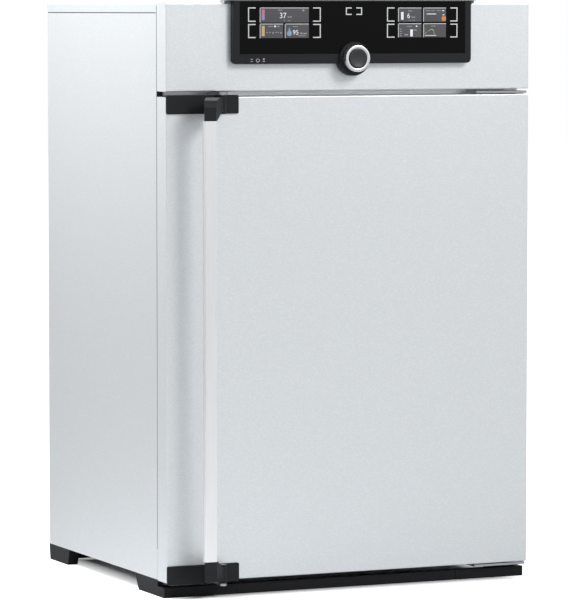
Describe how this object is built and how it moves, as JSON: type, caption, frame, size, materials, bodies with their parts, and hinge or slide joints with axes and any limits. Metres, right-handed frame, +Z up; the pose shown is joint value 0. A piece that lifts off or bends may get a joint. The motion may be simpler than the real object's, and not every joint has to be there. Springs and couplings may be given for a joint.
{
  "type": "carbon dioxide incubator",
  "caption": "Upright cabinet with hinged outer door and inner glass door, perforated shelves, circulation fan and a front control panel with turn-and-push knob.",
  "frame": {"origin": "on the floor, under the centre of the overall box of cabinet, door and handle", "axes": "+X right as seen from the front, -Y out of the front, +Z up"},
  "size_m": [0.719, 0.647, 1.062],
  "materials": {
    "textured_steel": "fine leather-grain stainless sheet",
    "back_steel": "plain galvanised sheet",
    "liner_steel": "electropolished stainless",
    "hinge_steel": "turned and milled steel",
    "aluminium": "fine-brushed anodised",
    "black_plastic": "fine-grained moulding",
    "foot_plastic": "satin moulding",
    "grey_plastic": "satin moulding",
    "cap_plastic": "smooth satin",
    "panel_glass": "polished black glass",
    "display": "display module",
    "clear_glass": "toughened float glass",
    "silicone": "matt silicone",
    "rubber": "matt rubber",
    "mineral_wool": "pressed fibre",
    "heater_film": "silicone film",
    "motor_case": "powder coat",
    "sensor_plastic": "smooth",
    "circuit_board": "solder mask",
    "brass": "nickel-free turned"
  },
  "bodies": {
    "cabinet": {"left_side_panel": "textured_steel", "right_side_panel": "textured_steel", "top_cover": "textured_steel", "control_fascia": "textured_steel", "back_panel": "back_steel", "base_pan": "back_steel", "electronics_tray": "back_steel", "front_frame": "liner_steel", "inner_chamber": "liner_steel", "fan_cover": "liner_steel", "heater_mats": "heater_film", "chamber_insulation": "mineral_wool", "glass_gasket": "silicone", "glass_hinge_brackets": "hinge_steel", "fan_motor": "motor_case", "co2_sensor": "sensor_plastic", "temperature_probe": "hinge_steel", "humidity_sensor": "sensor_plastic", "control_board": "circuit_board", "power_supply": "back_steel", "gas_valves": "brass", "panel_housing": "black_plastic", "panel_glass": "panel_glass", "displays": "display", "panel_hood": "grey_plastic", "knob_encoder": "hinge_steel", "door_hinge_plates": "hinge_steel", "connection_box": "back_steel", "hinge_pins": "hinge_steel", "door_strikes": "hinge_steel", "front_feet": "foot_plastic", "front_plinth": "foot_plastic", "rear_feet": "foot_plastic", "rear_spacers": "rubber", "gas_inlets": "brass", "fuse_holders": "cap_plastic", "mains_inlet": "cap_plastic"},
    "door": {"door_shell": "textured_steel", "door_inner_panel": "liner_steel", "door_insulation": "mineral_wool", "door_gasket": "silicone", "door_bushes": "hinge_steel", "upper_handle_bracket": "black_plastic", "lower_handle_bracket": "black_plastic"},
    "handle": {"handle_bar": "aluminium", "upper_handle_lever": "black_plastic", "lower_handle_lever": "black_plastic", "handle_spindles": "hinge_steel", "latch_arms": "hinge_steel"},
    "glass_door": {"glass_pane": "clear_glass", "glass_hinge_leaves": "hinge_steel"},
    "glass_latch": {"glass_latch_lever": "black_plastic"},
    "selector": {"selector_ring": "aluminium"},
    "confirm": {"confirm_button": "cap_plastic"},
    "power": {"power_key": "black_plastic"},
    "shelf_low": {"lower_shelf": "liner_steel"},
    "shelf_high": {"upper_shelf": "liner_steel"},
    "tray": {"water_tray": "liner_steel"},
    "fan": {"fan_wheel": "aluminium", "fan_shaft": "hinge_steel"}
  },
  "joints": [
    {"name": "door_hinge", "type": "hinge", "parent": "cabinet", "child": "door", "pos_m": [0.344, -0.2535, 0.45955], "axis": [0, 0, 1], "range_deg": [0, 120]},
    {"name": "handle_turn", "type": "hinge", "parent": "door", "child": "handle", "pos_m": [-0.257, -0.2825, 0.45955], "axis": [0, 0, 1], "range_deg": [0, 35]},
    {"name": "glass_door_hinge", "type": "hinge", "parent": "cabinet", "child": "glass_door", "pos_m": [0.301, -0.2115, 0.45955], "axis": [0, 0, 1], "range_deg": [0, 105]},
    {"name": "glass_latch_turn", "type": "hinge", "parent": "cabinet", "child": "glass_latch", "pos_m": [-0.303, -0.212, 0.45955], "axis": [0, -1, 0], "range_deg": [0, 90]},
    {"name": "selector_turn", "type": "hinge", "parent": "cabinet", "child": "selector", "pos_m": [0, -0.29, 0.957], "axis": [0, 1, 0], "continuous": true},
    {"name": "confirm_press", "type": "slide", "parent": "selector", "child": "confirm", "axis": [0, 1, 0], "range_m": [0, 0.0012], "stiffness_N_per_m": 600},
    {"name": "power_press", "type": "slide", "parent": "cabinet", "child": "power", "axis": [0, 1, 0], "range_m": [0, 0.0015], "stiffness_N_per_m": 500},
    {"name": "lower_shelf_slide", "type": "slide", "parent": "cabinet", "child": "shelf_low", "axis": [0, -1, 0], "range_m": [0, 0.012]},
    {"name": "upper_shelf_slide", "type": "slide", "parent": "cabinet", "child": "shelf_high", "axis": [0, -1, 0], "range_m": [0, 0.012]},
    {"name": "water_tray_slide", "type": "slide", "parent": "cabinet", "child": "tray", "axis": [0, -1, 0], "range_m": [0, 0.012]},
    {"name": "fan_spin", "type": "hinge", "parent": "cabinet", "child": "fan", "pos_m": [0, 0.22, 0.45955], "axis": [0, 1, 0], "continuous": true}
  ],
  "couplings": [
    {"joint": "glass_door_hinge", "follows": "door_hinge", "ratio": 0.85}
  ]
}
